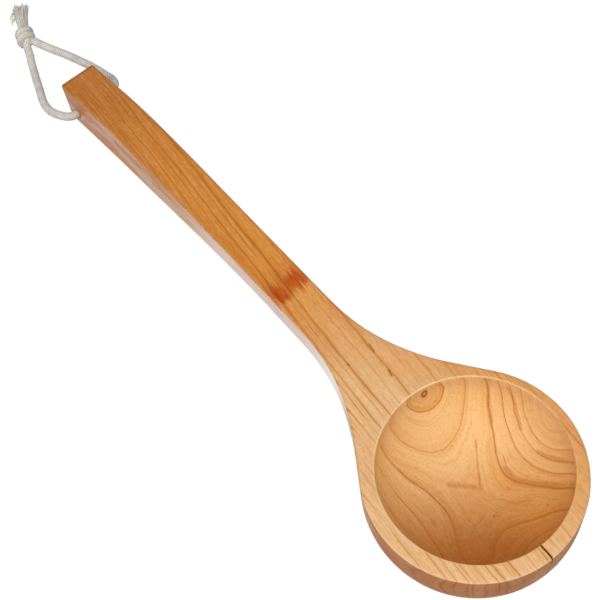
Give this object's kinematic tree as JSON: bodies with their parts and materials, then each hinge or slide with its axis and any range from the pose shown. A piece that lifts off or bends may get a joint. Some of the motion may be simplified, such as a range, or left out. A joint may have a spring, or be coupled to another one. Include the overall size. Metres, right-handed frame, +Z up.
{
  "type": "sauna ladle",
  "caption": "Wooden sauna ladle with a deep round bowl, a flared neck and an arched square-edged handle, and a knotted cotton hanging loop through a cross hole near the handle's end.",
  "frame": {"origin": "middle of the flat under the bowl, on the surface that the ladle lies on", "axes": "+X towards the handle's end, +Z up, with the ladle lying on the flat under its bowl and on the lower edge of its handle's end"},
  "size_m": [0.4939, 0.113, 0.0518],
  "materials": {
    "lacquered_wood": "clear satin lacquer over honey-coloured softwood",
    "cotton_cord": "undyed braided cotton"
  },
  "bodies": {
    "ladle": {"ladle_body": "lacquered_wood"},
    "hanging_loop": {"hanging_cord": "cotton_cord", "cord_knot": "cotton_cord", "cord_tail_left": "cotton_cord", "cord_tail_right": "cotton_cord"}
  },
  "joints": [
    {"name": "cord_swing", "type": "hinge", "parent": "ladle", "child": "hanging_loop", "pos_m": [0.33331, 0, 0.01295], "axis": [0, -1, 0], "range_deg": [-150, 140]}
  ]
}
